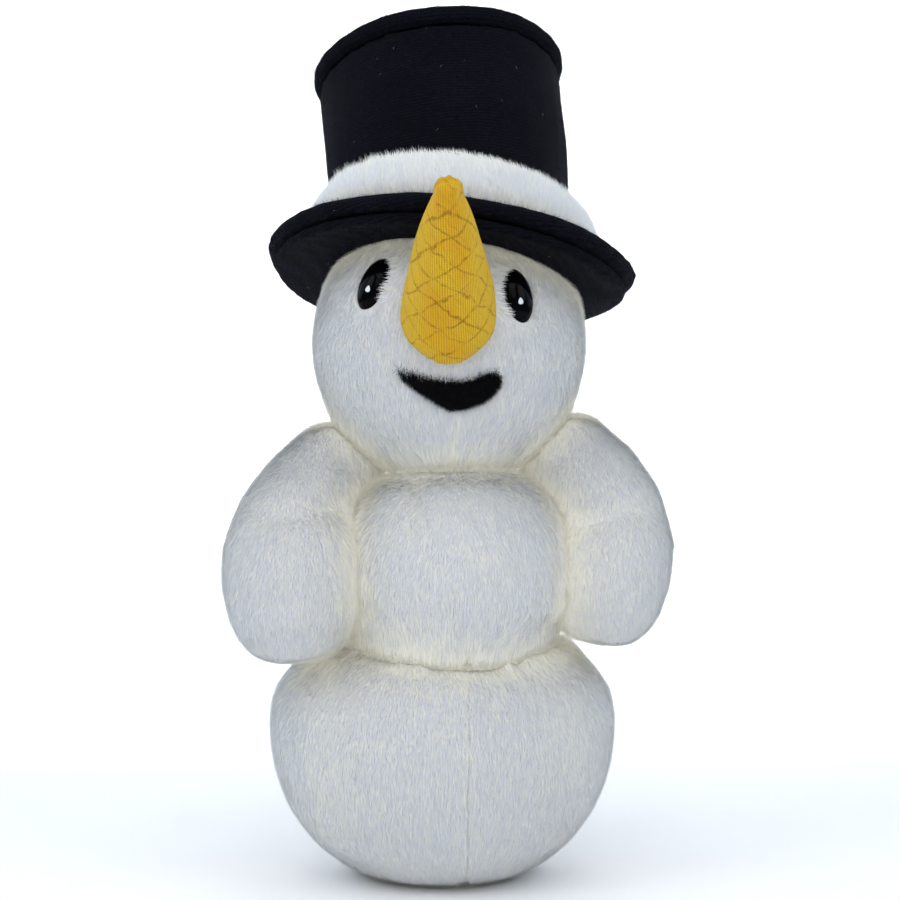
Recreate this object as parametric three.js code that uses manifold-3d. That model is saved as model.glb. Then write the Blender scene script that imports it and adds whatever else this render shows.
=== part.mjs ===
// A plush snowman in a top hat: stuffed balls of white pile fabric, a jersey carrot nose,
// plastic eyes, a pile mouth and a padded hat, all sewn to each other.
// Millimetres. +Z is up, the face looks along -Y, and the origin is the middle of the flat base.
// A furry solid reaches the tips of its pile.

import * as THREE from 'three';
import { mergeVertices } from 'three/addons/utils/BufferGeometryUtils.js';
import Module from 'manifold-3d';

const { degToRad, lerp, smoothstep } = THREE.MathUtils;
const wasm = await Module();
wasm.setup();

// Driving dimensions.

const sewnGap = 0.3; // clearance between pieces that are sewn face to face

// A stuffed ball: half its width, depth and height, with fullness 2 for a true ellipsoid and
// more for a squarer one.
const bottomBall = {
  centre: [0, 0, 56],
  width: 63.4, depth: 58, up: 35, down: 62,
  fullness: 2.2, around: 28, rings: 15,
};
const chestBall = {
  centre: [4.8, -5, 108],
  width: 44.5, depth: 50, up: 40, down: 40,
  fullness: 2.3, around: 26, rings: 13,
};
const headBall = {
  centre: [2.4, 0, 189],
  width: 49.7, depth: 49.7, up: 49.7, down: 49.7,
  fullness: 2, around: 28, rings: 15,
};

// An arm: its centre line from the shoulder to the end of the hand, and its radius at each end.
const armSides = [
  {
    name: 'arm_left',
    path: [[-16, 4, 154], [-38.5, -3, 148], [-51, -17, 126], [-53, -30, 101], [-49.5, -32, 77.5]],
    shoulder: 17.5, hand: 25.3,
  },
  {
    name: 'arm_right',
    path: [[22, 4, 157], [45, 0, 150.5], [59.5, -8, 127], [59.5, -14, 104], [55, -16, 82]],
    shoulder: 18.5, hand: 23.5,
  },
];
const armShape = { around: 18, rings: 12, bluntness: 2.8 };

// The face.
const eye = { width: 6, height: 10.3, depth: 4.8, sunk: 4, around: 14, rings: 8 };
const eyeSides = [
  { name: 'eye_left', turn: -36.5, lift: 24, lean: 10 },
  { name: 'eye_right', turn: 31.5, lift: 18.5, lean: -2 },
];
const nose = {
  base: [2.2, -44, 193.5], // middle of the sewn end
  rise: 49, // degrees above the horizontal
  // Distance along the nose from its base, and the radius there.
  profile: [[-14, 0], [-12, 7], [-6, 13.4], [0, 15.6], [5, 16], [15, 15], [29, 12], [43, 7.6],
    [50.5, 5.2], [54, 4.7], [56.2, 3.4], [57, 0]],
  around: 20,
};
const mouth = {
  // Outline from the head's centre: from the left corner along the lower lip to the right
  // corner and back, each curve with its control point and its end.
  start: [-17, -11.2],
  curves: [
    [-12.5, -18.6, 0.5, -24.4],
    [12.5, -24.2, 16.9, -16],
    [17.4, -12.8, 14.8, -11.4],
    [8.5, -15.9, 2, -15.6],
    [-7.5, -15.2, -17, -11.2],
  ],
  thickness: 3.2,
  steps: 4,
};

// The hat, measured up its own axis from the head's centre.
const hatFrame = { shift: -2.5, tiltBack: 17, roll: 6.5 };
const brim = {
  inner: 39.5, outer: 66.3,
  bottom: 22.6, layer: 4.2, apart: 0.5, // two padded layers, one above the other
  around: 34, edgeSteps: 4, bendAt: [0, 0.3, 0.55, 0.78], // where along its flat it can bend
  frontDroop: 3.5, backRise: 4, leftDroop: 1.8, cornerRise: 8, // how the edge bends from the flat
};
const crown = {
  pivot: [-2.6, 0, 53], roll: -11.5, // the crown leans from the band's top
  below: 33, height: 52, radius: 44.9, waist: 2.4, around: 28,
};
const hatTop = { radius: 41, thickness: 3.4, dome: 1.2 };
const welt = { width: 2.6, height: 3.2, overhang: 1.9, around: 28, steps: 6 };
const band = {
  inside: 36, lowRadius: 54.5, topRadius: 47.2, top: 53, shift: 0.8, around: 28,
  // The outer profile from the brim up: how far inside lowRadius, and the height above the brim.
  foot: [[2, 0], [0, 4], [0.8, 9]],
  // The same to the top edge, how far outside topRadius and below the top.
  shoulder: [[3, 5], [0.6, 1], [-1.5, 0]],
};

// Colours.

function fabric(name, color, roughness) {
  return new THREE.MeshStandardMaterial({ name, color, roughness, metalness: 0 });
}
const whitePile = fabric('white_pile', 0xf1f1ec, 0.95);
const blackFleece = fabric('black_fleece', 0x10111a, 0.92);
const blackPile = fabric('black_pile', 0x0b0c0e, 0.95);
const yellowJersey = fabric('yellow_jersey', 0xe0b12c, 0.85);
const blackPlastic = new THREE.MeshStandardMaterial({
  name: 'black_plastic', color: 0x060608, roughness: 0.08, metalness: 0,
});

// Solids.

function solidOf(geometry) {
  const plain = geometry.clone();
  plain.deleteAttribute('normal');
  plain.deleteAttribute('uv');
  const merged = mergeVertices(plain, 1e-4);
  return new wasm.Manifold(new wasm.Mesh({
    numProp: 3,
    vertProperties: merged.attributes.position.array,
    triVerts: new Uint32Array(merged.index.array),
  }));
}

function geometryOf(solid) {
  const { vertProperties, triVerts } = solid.getMesh();
  const geometry = new THREE.BufferGeometry();
  geometry.setAttribute('position', new THREE.BufferAttribute(vertProperties, 3));
  geometry.setIndex(new THREE.BufferAttribute(triVerts, 1));
  return geometry;
}

function cut(geometry, ...tools) {
  return geometryOf(tools.reduce((left, tool) => left.subtract(solidOf(tool)), solidOf(geometry)));
}

function common(geometry, other) {
  return geometryOf(solidOf(geometry).intersect(solidOf(other)));
}

// Moves each point of a geometry by a function that changes the vector it is given.
function reshape(geometry, move) {
  const position = geometry.getAttribute('position');
  const point = new THREE.Vector3();
  for (let i = 0; i < position.count; i += 1) {
    point.fromBufferAttribute(position, i);
    move(point);
    position.setXYZ(i, point.x, point.y, point.z);
  }
  return geometry;
}

function uprightSphere(around, rings) {
  return new THREE.SphereGeometry(1, around, rings).rotateX(Math.PI / 2);
}

function uprightLathe(points, around) {
  return new THREE.LatheGeometry(points.map(([r, z]) => new THREE.Vector2(r, z)), around)
    .rotateX(Math.PI / 2);
}

// Piece shapes. gap grows a shape all round, for cutting its neighbours.

function stuffedBall(ball, gap = 0) {
  const n = ball.fullness;
  return reshape(uprightSphere(ball.around, ball.rings), (p) => {
    const level = Math.hypot(p.x, p.y);
    const reach = (level ** n + Math.abs(p.z) ** n) ** (-1 / n);
    const height = p.z > 0 ? ball.up : ball.down;
    p.set(p.x * (ball.width + gap), p.y * (ball.depth + gap), p.z * (height + gap));
    p.multiplyScalar(reach);
  }).translate(...ball.centre);
}

// A sphere whose rings are threaded on a curved centre line.
function limb(arm, gap = 0) {
  const line = new THREE.CatmullRomCurve3(arm.path.map((p) => new THREE.Vector3(...p)));
  const backward = new THREE.Vector3(0, 1, 0);
  return reshape(uprightSphere(armShape.around, armShape.rings), (p) => {
    const along = (1 - p.z) / 2;
    const ring = Math.hypot(p.x, p.y);
    const end = 1 - Math.abs(p.z) ** armShape.bluntness;
    const girth = lerp(arm.shoulder, arm.hand, smoothstep(along, 0.2, 0.7)) + gap;
    const radius = ring > 1e-6 ? girth * end ** (1 / armShape.bluntness) / ring : 0;
    const up = line.getTangentAt(along).negate();
    const side = new THREE.Vector3().crossVectors(backward, up).normalize();
    const back = new THREE.Vector3().crossVectors(up, side);
    const middle = line.getPointAt(along).addScaledVector(up, gap * p.z);
    p.copy(middle.addScaledVector(side, p.x * radius).addScaledVector(back, p.y * radius));
  });
}

function carrot() {
  const points = nose.profile.map(([along, radius]) => [radius, along]);
  return uprightLathe(points, nose.around);
}

function eyeDome(gap = 0) {
  return new THREE.SphereGeometry(1, eye.around, eye.rings)
    .scale(eye.width + gap, eye.depth + gap, eye.height + gap);
}

// A straight prism through the front of the head, of the mouth's outline grown by gap.
function mouthPrism(gap = 0) {
  const outline = new THREE.Shape();
  outline.moveTo(...mouth.start);
  for (const curve of mouth.curves) outline.quadraticCurveTo(...curve);
  const [x, y, z] = headBall.centre;
  return new THREE.ExtrudeGeometry(outline, {
    depth: 1.2 * headBall.depth, curveSegments: mouth.steps,
    bevelEnabled: gap > 0, bevelSize: gap, bevelThickness: gap, bevelSegments: 1,
  }).rotateX(Math.PI / 2).translate(x, y, z);
}

// The part of a prism through the head that lies less than a depth under its surface.
function shallowPart(prism, depth) {
  return cut(prism, stuffedBall(headBall, -depth));
}

// How far the brim stands off its flat plane, at a point of it.
function brimBend(p) {
  const outward = (Math.hypot(p.x, p.y) - brim.inner) / (brim.outer - brim.inner);
  const back = p.y / brim.outer;
  const backRight = Math.max(0, (p.x + p.y) * Math.SQRT1_2 / brim.outer);
  const left = Math.max(0, -p.x / brim.outer);
  const sway = back > 0 ? back * brim.backRise : back * brim.frontDroop;
  const bend = sway - left * brim.leftDroop + backRight ** 2 * brim.cornerRise;
  return bend * Math.max(0, outward) ** 2;
}

// One padded layer of the brim, with a rounded outer edge.
function brimLayer(bottom, gap = 0) {
  const low = bottom - gap;
  const high = bottom + brim.layer + gap;
  const half = (high - low) / 2;
  const flatEnd = brim.outer + gap - half;
  const flatRadii = brim.bendAt.map((share) => lerp(brim.inner - gap, flatEnd, share));
  const points = flatRadii.map((radius) => [radius, low]);
  for (let i = 0; i <= brim.edgeSteps; i += 1) {
    const turn = Math.PI * (i / brim.edgeSteps - 0.5);
    points.push([flatEnd + half * Math.cos(turn), low + half + half * Math.sin(turn)]);
  }
  points.push(...flatRadii.reverse().map((radius) => [radius, high]));
  points.push(points[0]);
  return reshape(uprightLathe(points, brim.around), (p) => {
    p.z += brimBend(p);
  });
}

function crownTube(gap = 0) {
  const wall = crown.radius + gap;
  return uprightLathe([
    [0, -crown.below], [wall, -crown.below], [wall - crown.waist * 0.6, 2],
    [wall, crown.height * 0.4], [wall, crown.height], [0, crown.height],
  ], crown.around);
}

function topDisc() {
  const low = crown.height + sewnGap;
  const high = low + hatTop.thickness;
  return uprightLathe([
    [0, low], [hatTop.radius, low], [hatTop.radius, high],
    [hatTop.radius * 0.55, high + hatTop.dome * 0.7], [0, high + hatTop.dome],
  ], crown.around);
}

// The rolled seam round the top edge of the crown.
function rolledSeam() {
  const middle = crown.radius + welt.overhang - welt.width;
  const level = crown.height + sewnGap + welt.height;
  const points = [];
  for (let i = 0; i <= welt.steps; i += 1) {
    const turn = 2 * Math.PI * ((i % welt.steps) / welt.steps) - Math.PI / 2;
    points.push([middle + welt.width * Math.cos(turn), level + welt.height * Math.sin(turn)]);
  }
  return uprightLathe(points, welt.around);
}

function bandRing() {
  const low = brim.bottom + 2 * brim.layer;
  return uprightLathe([
    [band.inside, low],
    ...band.foot.map(([inward, above]) => [band.lowRadius - inward, low + above]),
    ...band.shoulder.map(([outward, below]) => [band.topRadius + outward, band.top - below]),
    [band.inside, band.top],
    [band.inside, low],
  ], band.around).translate(band.shift, 0, 0);
}

// The scene.

const toy = new THREE.Group();

function place(parent, name, geometry, material) {
  const mesh = new THREE.Mesh(geometry, material.clone());
  mesh.name = name;
  parent.add(mesh);
  return mesh;
}

const hat = new THREE.Group();
hat.position.set(headBall.centre[0] + hatFrame.shift, headBall.centre[1], headBall.centre[2]);
hat.rotation.set(degToRad(-hatFrame.tiltBack), degToRad(hatFrame.roll), 0);
toy.add(hat);
const crownGroup = new THREE.Group();
crownGroup.position.set(...crown.pivot);
crownGroup.rotation.y = degToRad(crown.roll);
hat.add(crownGroup);
toy.updateMatrixWorld(true);

function intoFrame(object, geometry) {
  return geometry.applyMatrix4(object.matrixWorld.clone().invert());
}

function outOfFrame(object, geometry) {
  return geometry.applyMatrix4(object.matrixWorld);
}

// The stuffed body: each ball is dented by the one above it, and the arms lie against both.
const groundSize = 4 * bottomBall.width;
const ground = new THREE.BoxGeometry(groundSize, groundSize, groundSize)
  .translate(0, 0, -groundSize / 2);
const grownHead = stuffedBall(headBall, sewnGap);
const grownChest = stuffedBall(chestBall, sewnGap);
const bottomSolid = cut(stuffedBall(bottomBall), ground, grownChest);
const chestSolid = cut(stuffedBall(chestBall), grownHead);
place(toy, 'bottom_ball', bottomSolid, whitePile);
place(toy, 'chest_ball', chestSolid, whitePile);
for (const arm of armSides) {
  const grownBottom = stuffedBall(bottomBall, sewnGap);
  place(toy, arm.name, cut(limb(arm), grownHead, grownChest, grownBottom), whitePile);
}

// The eyes lie in pockets in the head's pile.
const eyePockets = [];
for (const side of eyeSides) {
  const mesh = place(toy, side.name, eyeDome(), blackPlastic);
  const out = new THREE.Euler(degToRad(-side.lift), degToRad(side.lean), degToRad(side.turn), 'ZXY');
  const forward = new THREE.Vector3(0, -1, 0).applyEuler(out);
  mesh.position.set(...headBall.centre).addScaledVector(forward, headBall.width - eye.sunk);
  mesh.rotation.copy(out);
  mesh.updateWorldMatrix(true, false);
  eyePockets.push(outOfFrame(mesh, eyeDome(sewnGap)));
}

const lips = common(mouthPrism(), stuffedBall(headBall));
place(toy, 'mouth', shallowPart(lips, mouth.thickness), blackPile);
const mouthPocket = shallowPart(mouthPrism(sewnGap), mouth.thickness + sewnGap);
place(toy, 'head', cut(stuffedBall(headBall), mouthPocket, ...eyePockets), whitePile);

const noseMesh = place(toy, 'nose', carrot(), yellowJersey);
noseMesh.position.set(...nose.base);
noseMesh.rotation.x = degToRad(90 - nose.rise);
noseMesh.updateWorldMatrix(true, false);
const headAtNose = intoFrame(noseMesh, stuffedBall(headBall, sewnGap));
noseMesh.geometry = cut(noseMesh.geometry, headAtNose);

// The hat, from the brim up.
const headInHat = intoFrame(hat, stuffedBall(headBall, sewnGap));
const upperBottom = brim.bottom + brim.layer + brim.apart;
const grownBrim = brimLayer(upperBottom, sewnGap);
place(hat, 'hat_brim_lower', cut(brimLayer(brim.bottom), headInHat), blackFleece);
place(hat, 'hat_brim_upper', cut(brimLayer(upperBottom), headInHat), blackFleece);
const brimTop = upperBottom + brim.layer + sewnGap;
const underCrown = new THREE.CylinderGeometry(brim.outer, brim.outer, brim.outer, brim.around)
  .rotateX(Math.PI / 2).translate(0, 0, brimTop - brim.outer / 2);
const crownInHat = (gap) => crownTube(gap).applyMatrix4(crownGroup.matrix);
const crownSolid = cut(crownInHat(0), underCrown, headInHat, grownBrim)
  .applyMatrix4(crownGroup.matrix.clone().invert());
place(crownGroup, 'hat_crown', crownSolid, blackFleece);
place(crownGroup, 'hat_top', topDisc(), blackFleece);
place(crownGroup, 'hat_top_seam', rolledSeam(), blackFleece);
place(hat, 'hat_band', cut(bandRing(), underCrown, grownBrim, crownInHat(sewnGap)), whitePile);

export default toy;
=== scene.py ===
"""A plush snowman in a padded top hat: stuffed balls under a dense white pile, bead eyes, a mouth
of black pile and a carrot nose of ribbed jersey.

Lengths are in metres and stand in the frame's own place: +Z up, the face looks along -Y.
"""

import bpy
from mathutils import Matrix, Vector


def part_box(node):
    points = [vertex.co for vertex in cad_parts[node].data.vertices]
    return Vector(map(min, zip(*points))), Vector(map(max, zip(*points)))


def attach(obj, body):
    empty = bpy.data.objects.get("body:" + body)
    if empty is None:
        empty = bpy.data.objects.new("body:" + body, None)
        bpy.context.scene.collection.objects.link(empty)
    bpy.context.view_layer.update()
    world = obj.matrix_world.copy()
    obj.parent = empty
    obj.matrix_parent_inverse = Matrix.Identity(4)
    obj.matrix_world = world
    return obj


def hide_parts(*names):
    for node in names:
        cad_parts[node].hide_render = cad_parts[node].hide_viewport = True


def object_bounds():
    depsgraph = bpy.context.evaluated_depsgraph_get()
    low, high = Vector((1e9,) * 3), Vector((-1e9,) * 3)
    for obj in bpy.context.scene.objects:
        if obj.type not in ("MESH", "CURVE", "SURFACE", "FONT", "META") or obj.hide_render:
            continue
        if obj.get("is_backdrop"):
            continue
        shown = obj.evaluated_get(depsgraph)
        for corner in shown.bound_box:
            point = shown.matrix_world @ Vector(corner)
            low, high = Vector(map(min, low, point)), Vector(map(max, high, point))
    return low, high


bl_info = {
    "name": "Plush Snowman",
    "version": (1, 0, 0),
    "blender": (4, 5, 0),
    "location": "View3D > Sidebar > Plush Snowman",
    "description": "Stuffs, sews and furs a plush snowman round its packed frame",
    "category": "Object",
}

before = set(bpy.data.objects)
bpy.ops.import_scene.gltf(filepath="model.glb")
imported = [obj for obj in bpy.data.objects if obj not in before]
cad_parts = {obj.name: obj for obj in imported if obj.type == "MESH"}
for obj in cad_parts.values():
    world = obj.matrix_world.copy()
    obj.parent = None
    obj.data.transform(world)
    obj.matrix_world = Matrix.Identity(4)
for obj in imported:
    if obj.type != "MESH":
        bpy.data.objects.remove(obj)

import math

import bmesh
import bpy
import numpy as np
from bpy.props import FloatProperty, FloatVectorProperty, IntProperty, PointerProperty
from mathutils import Matrix, Vector
from mathutils.bvhtree import BVHTree

CAD_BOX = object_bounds()
MM = 0.001
# Which way the pile is combed: down, and forward where down has no meaning.
DOWN = np.array([0.0, -0.35, -0.94])
SKIN_VOXEL = 3.2 * MM
CLOTH_FRAMES = 20
FLOOR_GAP = 0.1 * MM
FLEECE_PITCH = 1.15 * MM
# The sets of lines that cross on the nose: their slope, spacing, shift in spacings and strength.
NOSE_LINES = (
    (0.62, 8.6 * MM, 0.31, 0.8),
    (-0.55, 9.8 * MM, 0.12, 0.8),
    (1.15, 6.1 * MM, 0.45, 0.2),
)


# ------------------------------------------------------------------ sizes and colours

def length_property(name, description, default, low, high):
    """A property that holds a length. The numbers are in millimetres."""
    return FloatProperty(name=name, description=description, default=default * MM, min=low * MM,
                         max=high * MM, unit="LENGTH", precision=5)


def colour_property(name, description, default):
    return FloatVectorProperty(name=name, description=description, default=default, size=3,
                               min=0, max=1, subtype="COLOR")


class PlushSizes(bpy.types.PropertyGroup):
    pile_depth: length_property(
        "Pile depth", "How far the backing lies under the tips of the pile", 1.7, 0.5, 6)
    pile_length: length_property(
        "Pile length", "Length of one fibre of the white pile", 2.8, 1, 12)
    pile_width: length_property(
        "Fibre width", "Width of a tuft of white fibres at its root", 0.30, 0.05, 1)
    pile_lean: FloatProperty(
        name="Pile lean", description="How far the fibres lie over from upright",
        default=math.radians(66), min=0, max=math.radians(85), subtype="ANGLE")
    fuzz_length: length_property(
        "Fleece fuzz", "Length of the loose fibres of the black fleece", 1.5, 0.2, 4)
    stuffing: FloatProperty(
        name="Stuffing", description="Pressure of the filling while the cloth settles",
        default=4.0, min=0, max=20)
    swell: length_property(
        "Swell", "Furthest that the filling may push the cloth out", 1.2, 0, 5)
    wale_pitch: length_property(
        "Wale pitch", "Spacing of the ribs of the nose's jersey", 0.85, 0.3, 3)
    seed: IntProperty(name="Seed", description="Seed of every random choice", default=7, min=0)


class PlushColours(bpy.types.PropertyGroup):
    tips: colour_property("Pile tips", "Most of the white fibres", (0.86, 0.875, 0.90))
    ivory: colour_property(
        "Pile in creases", "The warmer fibres, most of them in the creases", (0.87, 0.855, 0.77))
    # Painted glow: the ivory fibres give out light of their own colour, standing in for light that
    # scatters through the pile into its creases.
    painted_crease_glow: FloatProperty(
        name="Crease glow", description="Light that leaks through the pile into its creases",
        default=0.13, min=0, max=1)
    shade: colour_property(
        "Duller fibres", "The greyer fibres that streak the pile", (0.82, 0.83, 0.86))
    backing: colour_property(
        "Backing", "The knitted backing under the white pile", (0.80, 0.77, 0.70))
    fleece: colour_property("Fleece", "The hat's near-black brushed knit", (0.0034, 0.0036, 0.0066))
    jersey: colour_property("Jersey", "The nose's yellow jersey", (0.74, 0.468, 0.023))
    crackle: colour_property(
        "Nose lines", "The thin brown lines that cross the nose", (0.26, 0.078, 0.010))
    floor: colour_property("Floor", "The plain floor and backdrop", (0.95, 0.945, 0.94))


def sizes():
    return bpy.context.scene.plush_sizes


def colours():
    return bpy.context.scene.plush_colours


# ------------------------------------------------------------------ node trees

class Field:
    """An output socket that takes part in Python arithmetic by adding Math nodes."""

    def __init__(self, nodes, socket):
        self.nodes, self.socket = nodes, socket

    def out(self, key):
        """Another output of the same node."""
        return Field(self.nodes, self.nodes.pick(self.socket.node.outputs, key))

    def __add__(self, other):
        return self.nodes.maths("ADD", self, other)

    def __sub__(self, other):
        return self.nodes.maths("SUBTRACT", self, other)

    def __rsub__(self, other):
        return self.nodes.maths("SUBTRACT", other, self)

    def __mul__(self, other):
        return self.nodes.maths("MULTIPLY", self, other)

    def __truediv__(self, other):
        return self.nodes.maths("DIVIDE", self, other)

    def __pow__(self, other):
        return self.nodes.maths("POWER", self, other)


class Nodes:
    """Adds nodes to one tree. Each takes its type, its settings and its inputs."""

    def __init__(self, tree):
        self.tree = tree

    @staticmethod
    def pick(sockets, key):
        shown = [socket for socket in sockets if socket.enabled]
        return shown[key] if isinstance(key, int) else next(s for s in shown if s.name == key)

    def add(self, kind, settings=None, inputs=None, output=0):
        node = self.tree.nodes.new(kind)
        for name, value in (settings or {}).items():
            setattr(node, name, value)
        for key, value in (inputs or {}).items():
            socket = self.pick(node.inputs, key)
            if isinstance(value, Field):
                self.tree.links.new(value.socket, socket)
            else:
                socket.default_value = value
        return Field(self, self.pick(node.outputs, output))

    def maths(self, operation, *values):
        return self.add("ShaderNodeMath", {"operation": operation}, dict(enumerate(values)))

    def vector(self, operation, *values):
        return self.add("ShaderNodeVectorMath", {"operation": operation}, dict(enumerate(values)))

    def clamp(self, value, low=0.0, high=1.0):
        return self.add("ShaderNodeClamp", {}, {"Value": value, "Min": low, "Max": high})

    def step(self, value, low, high, to_low=0.0, to_high=1.0):
        """Turns smoothly from to_low to to_high as value goes from low to high."""
        return self.add("ShaderNodeMapRange", {"interpolation_type": "SMOOTHSTEP"}, {
            "Value": value, "From Min": low, "From Max": high, "To Min": to_low, "To Max": to_high})

    def mix(self, share, low, high):
        """A mix of two colours."""
        return self.add("ShaderNodeMix", {"data_type": "RGBA"}, {
            0: share, 1: rgba(low), 2: rgba(high)})

    def scaled(self, vector, scale):
        return self.add("ShaderNodeVectorMath", {"operation": "SCALE"},
                        {"Vector": vector, "Scale": scale})

    def noise(self, place, scale, detail=2.0, roughness=0.5):
        return self.add("ShaderNodeTexNoise", {}, {
            "Vector": place, "Scale": scale, "Detail": detail, "Roughness": roughness})


def rgba(colour):
    return colour if isinstance(colour, Field) else (*colour, 1)


def material(name, base, roughness, normal=None, **constants):
    """A Principled material. make(nodes, place) functions give what changes over the surface."""
    made = bpy.data.materials.new(name)
    made.use_nodes = True
    made.node_tree.nodes.clear()
    nodes = Nodes(made.node_tree)
    place = nodes.add("ShaderNodeTexCoord", {}, {}, "Object")
    inputs = {key.replace("_", " "): value for key, value in constants.items()}
    inputs["Base Color"] = rgba(base(nodes, place) if callable(base) else base)
    inputs["Roughness"] = roughness(nodes, place) if callable(roughness) else roughness
    if normal:
        inputs["Normal"] = normal(nodes, place)
    surface = nodes.add("ShaderNodeBsdfPrincipled", {}, inputs)
    end = nodes.tree.nodes.new("ShaderNodeOutputMaterial")
    nodes.tree.links.new(surface.socket, end.inputs["Surface"])
    return made


# ------------------------------------------------------------------ materials

def make_pile_shades():
    """The three shades of white fibre: tips, ivory and shade. The ivory fibres glow a little: painted
    light, strongest in the creases where they gather.
    """
    look = colours()
    for name, painted_glow in (("tips", 0.0), ("ivory", look.painted_crease_glow), ("shade", 0.0)):
        shade = getattr(look, name)
        material(f"white_fibre_{name}", tuple(shade), 0.9, Sheen_Weight=0.12, Sheen_Roughness=0.5,
                 Emission_Strength=painted_glow, Emission_Color=(*shade, 1))


def make_backing():
    """The white knit under the pile, faintly streaked downwards."""
    look = colours()

    def streaks(nodes, place):
        stretched = nodes.add("ShaderNodeMapping", {}, {"Vector": place, "Scale": (1, 1, 0.12)})
        return nodes.noise(stretched, 1600.0, 3.0)

    def base(nodes, place):
        blotches = nodes.noise(place, 60.0, 3.0)
        share = nodes.clamp(streaks(nodes, place) * 0.6 + blotches * 0.6 - 0.1)
        return nodes.mix(share, tuple(look.backing), tuple(look.tips))

    def normal(nodes, place):
        return nodes.add("ShaderNodeBump", {}, {
            "Strength": 0.5, "Distance": 0.4 * MM, "Height": streaks(nodes, place)})

    material("white_backing", base, 0.95, normal)


def fleece_material(turn):
    """Near-black brushed knit. turn puts the hat's own axis upright, so that the wales ring it."""
    colour = np.array(colours().fleece)

    def wales(nodes, place):
        upright = nodes.add("ShaderNodeMapping", {}, {"Vector": place, "Rotation": turn})
        along = nodes.add("ShaderNodeSeparateXYZ", {}, {"Vector": upright}, "Z")
        sway = nodes.noise(upright, 70.0, 2.0) * (1.2 * MM)
        rib = nodes.maths("SINE", (along + sway) * (2 * math.pi / FLEECE_PITCH))
        brushed = nodes.add("ShaderNodeMapping", {}, {"Vector": upright, "Scale": (1, 1, 3.5)})
        nap = nodes.noise(brushed, 900.0, 4.0, 0.65)
        return nap * 1.5 + rib * 0.12

    def base(nodes, place):
        share = nodes.step(wales(nodes, place), 0.45, 1.15)
        lifted = nodes.noise(place, 45.0, 3.0)
        return nodes.mix(nodes.clamp(share * (lifted + 0.4)), tuple(colour * 0.45),
                         tuple(colour * 2.6))

    def normal(nodes, place):
        return nodes.add("ShaderNodeBump", {}, {
            "Strength": 0.9, "Distance": 0.35 * MM, "Height": wales(nodes, place)})

    return material("black_fleece", base, 0.95, normal, Sheen_Weight=0.008, Sheen_Roughness=0.45,
                    Specular_IOR_Level=0.06)


def fuzz_material():
    """The loose fibres that stand off the fleece, a little lighter than it."""
    tone = tuple(np.array(colours().fleece) * 1.7)
    return material("fleece_fuzz", tone, 0.9, Specular_IOR_Level=0.06)


def black_pile_materials():
    """The mouth's two materials: its backing and its fibres."""
    backing = material(
        "black_backing",
        lambda nodes, place: nodes.mix(nodes.noise(place, 900.0, 3.0), (0.002, 0.002, 0.0025),
                                       (0.008, 0.008, 0.009)),
        0.95, Specular_IOR_Level=0.15)
    fibre = material("black_fibre", (0.0045, 0.0045, 0.0055), 0.85, Specular_IOR_Level=0.2)
    return backing, fibre


def jersey_material(turn, centre):
    """Yellow ribbed jersey with thin brown lines that cross it in long diamonds."""
    look = colours()
    yellow = np.array(look.jersey)

    def unrolled(nodes, place):
        """Across and along the fabric, as it lay before it was sewn into a cone."""
        upright = nodes.add("ShaderNodeMapping", {}, {
            "Vector": nodes.vector("SUBTRACT", place, tuple(centre)), "Rotation": turn})
        x = nodes.add("ShaderNodeSeparateXYZ", {}, {"Vector": upright}, "X")
        y, z = x.out("Y"), x.out("Z")
        reach = nodes.maths("SQRT", x * x + y * y)
        return nodes.maths("ARCTAN2", x, y * -1) * reach, z, upright

    def ribs(nodes, place):
        across, along, upright = unrolled(nodes, place)
        sway = nodes.noise(upright, 120.0, 2.0) * (0.7 * MM)
        rib = nodes.maths("SINE", (across + sway) * (2 * math.pi / sizes().wale_pitch))
        course_pitch = 0.62 * sizes().wale_pitch
        course = nodes.maths("SINE", (along + sway) * (2 * math.pi / course_pitch))
        return rib * 0.5 + course * 0.22 + nodes.noise(upright, 1500.0, 2.0) * 0.7

    def lines(nodes, place):
        """1 on the thin brown lines, fading in and out along them."""
        across, along, upright = unrolled(nodes, place)
        wander = nodes.noise(upright, 85.0, 3.0, 0.6)
        found = None
        for slope, spacing, shift, strength in NOSE_LINES:
            lane = (along + across * slope + wander * (9.0 * MM)) / spacing + shift
            gap = nodes.maths("PINGPONG", lane, 0.5) * spacing
            line = nodes.step(gap, 0.05 * MM, 0.75 * MM, strength, 0.0)
            found = line if found is None else nodes.maths("MAXIMUM", found, line)
        patchy = nodes.step(nodes.noise(upright, 150.0, 4.0, 0.7), 0.36, 0.58)
        knots = nodes.step(nodes.noise(upright, 1300.0, 2.0), 0.35, 0.6, 0.4, 1.0)
        return found * (patchy * 0.78 + 0.1) * knots

    def base(nodes, place):
        height = ribs(nodes, place)
        # Painted shade in the grooves between the ribs and painted highlight on their crests, over a fine
        # random tone.
        light = nodes.mix(nodes.clamp(height * 0.8 + 0.25), tuple(yellow * (0.74, 0.66, 0.6)),
                          tuple(yellow * (1.22, 1.26, 1.5)))
        across, along, upright = unrolled(nodes, place)
        # Painted shade: the middle strip of the nose turns orange in blotches, and its sides stay lemon
        # as a painted highlight.
        side = nodes.step(nodes.maths("ABSOLUTE", across), 4 * MM, 14 * MM, 0.5, 0.0)
        painted_shade_blotch = nodes.step(nodes.noise(place, 90.0, 4.0, 0.6), 0.3, 0.65)
        warm = nodes.mix(painted_shade_blotch * side, light, tuple(yellow * (1.0, 0.70, 0.4)))
        return nodes.mix(nodes.clamp(lines(nodes, place)), warm, tuple(look.crackle))

    def normal(nodes, place):
        return nodes.add("ShaderNodeBump", {}, {
            "Strength": 0.75, "Distance": 0.22 * MM, "Height": ribs(nodes, place)})

    return material("yellow_jersey", base, 0.86, normal, Sheen_Weight=0.04, Specular_IOR_Level=0.2)


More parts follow.
